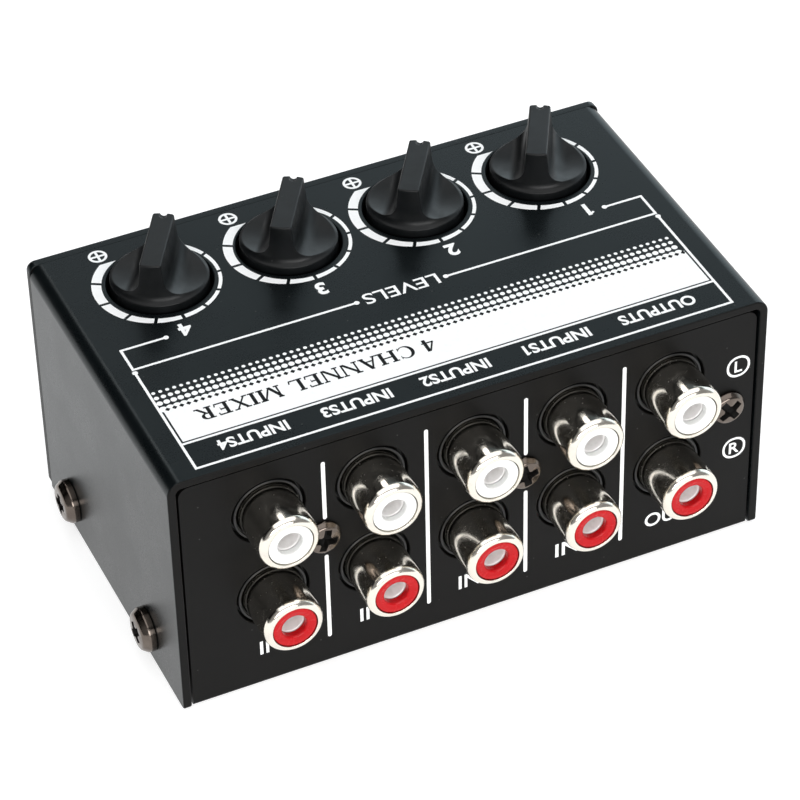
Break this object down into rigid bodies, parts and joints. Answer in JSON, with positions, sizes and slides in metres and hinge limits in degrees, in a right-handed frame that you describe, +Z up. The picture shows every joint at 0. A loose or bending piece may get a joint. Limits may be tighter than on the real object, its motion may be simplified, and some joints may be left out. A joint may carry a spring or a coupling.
{
  "type": "mixing console",
  "caption": "Compact passive stereo line mixer: folded steel box with bar-grip level knobs on top and stacked white and red phono sockets in the rear panel.",
  "frame": {"origin": "centre of the underside of the box, on the surface it rests on", "axes": "+Z up, +Y out of the rear socket panel, +X to the right of a user who faces the knobs from -Y"},
  "size_m": [0.0884, 0.0569, 0.0454],
  "materials": {
    "cover_coat": "satin black powder coat with white screen print",
    "panel_coat": "satin black powder coat with white screen print",
    "knob": "matte black moulded plastic",
    "nickel": "bright nickel plate",
    "insulator_white": "glossy white moulded plastic",
    "insulator_red": "glossy red moulded plastic",
    "contact": "tinned spring contact",
    "moulding": "black moulded plastic",
    "screw": "black-nickel plated, bronze tint",
    "steel": "zinc-plated steel",
    "board": "green solder mask"
  },
  "bodies": {
    "root": {"top_cover": "cover_coat", "chassis": "panel_coat", "pot_body_1": "steel", "pot_body_2": "steel", "pot_body_3": "steel", "pot_body_4": "steel", "jack_block_out": "moulding", "jack_block_12": "moulding", "jack_block_34": "moulding", "jack_shell_out_right": "nickel", "jack_insulator_out_right": "insulator_red", "jack_contact_out_right": "contact", "jack_shell_out_left": "nickel", "jack_insulator_out_left": "insulator_white", "jack_contact_out_left": "contact", "jack_shell_in_1_right": "nickel", "jack_insulator_in_1_right": "insulator_red", "jack_contact_in_1_right": "contact", "jack_shell_in_1_left": "nickel", "jack_insulator_in_1_left": "insulator_white", "jack_contact_in_1_left": "contact", "jack_shell_in_2_right": "nickel", "jack_insulator_in_2_right": "insulator_red", "jack_contact_in_2_right": "contact", "jack_shell_in_2_left": "nickel", "jack_insulator_in_2_left": "insulator_white", "jack_contact_in_2_left": "contact", "jack_shell_in_3_right": "nickel", "jack_insulator_in_3_right": "insulator_red", "jack_contact_in_3_right": "contact", "jack_shell_in_3_left": "nickel", "jack_insulator_in_3_left": "insulator_white", "jack_contact_in_3_left": "contact", "jack_shell_in_4_right": "nickel", "jack_insulator_in_4_right": "insulator_red", "jack_contact_in_4_right": "contact", "jack_shell_in_4_left": "nickel", "jack_insulator_in_4_left": "insulator_white", "jack_contact_in_4_left": "contact", "panel_screw_1": "screw", "panel_screw_2": "screw", "panel_screw_3": "screw", "side_screw_left_front": "screw", "side_screw_left_rear": "screw", "side_screw_right_front": "screw", "side_screw_right_rear": "screw", "jack_board": "board", "pot_board": "board", "board_header": "moulding", "board_spacer_left": "steel", "board_spacer_right": "steel"},
    "level_control_1": {"knob_1": "knob", "pot_shaft_1": "steel"},
    "level_control_2": {"knob_2": "knob", "pot_shaft_2": "steel"},
    "level_control_3": {"knob_3": "knob", "pot_shaft_3": "steel"},
    "level_control_4": {"knob_4": "knob", "pot_shaft_4": "steel"}
  },
  "joints": [
    {"name": "level_1_turn", "type": "hinge", "parent": "root", "child": "level_control_1", "pos_m": [-0.02785, -0.0136, 0.0387], "axis": [0, 0, 1], "range_deg": [-300, 0]},
    {"name": "level_2_turn", "type": "hinge", "parent": "root", "child": "level_control_2", "pos_m": [-0.00935, -0.0136, 0.0387], "axis": [0, 0, 1], "range_deg": [-300, 0]},
    {"name": "level_3_turn", "type": "hinge", "parent": "root", "child": "level_control_3", "pos_m": [0.00915, -0.0136, 0.0387], "axis": [0, 0, 1], "range_deg": [-300, 0]},
    {"name": "level_4_turn", "type": "hinge", "parent": "root", "child": "level_control_4", "pos_m": [0.02765, -0.0136, 0.0387], "axis": [0, 0, 1], "range_deg": [-300, 0]}
  ]
}
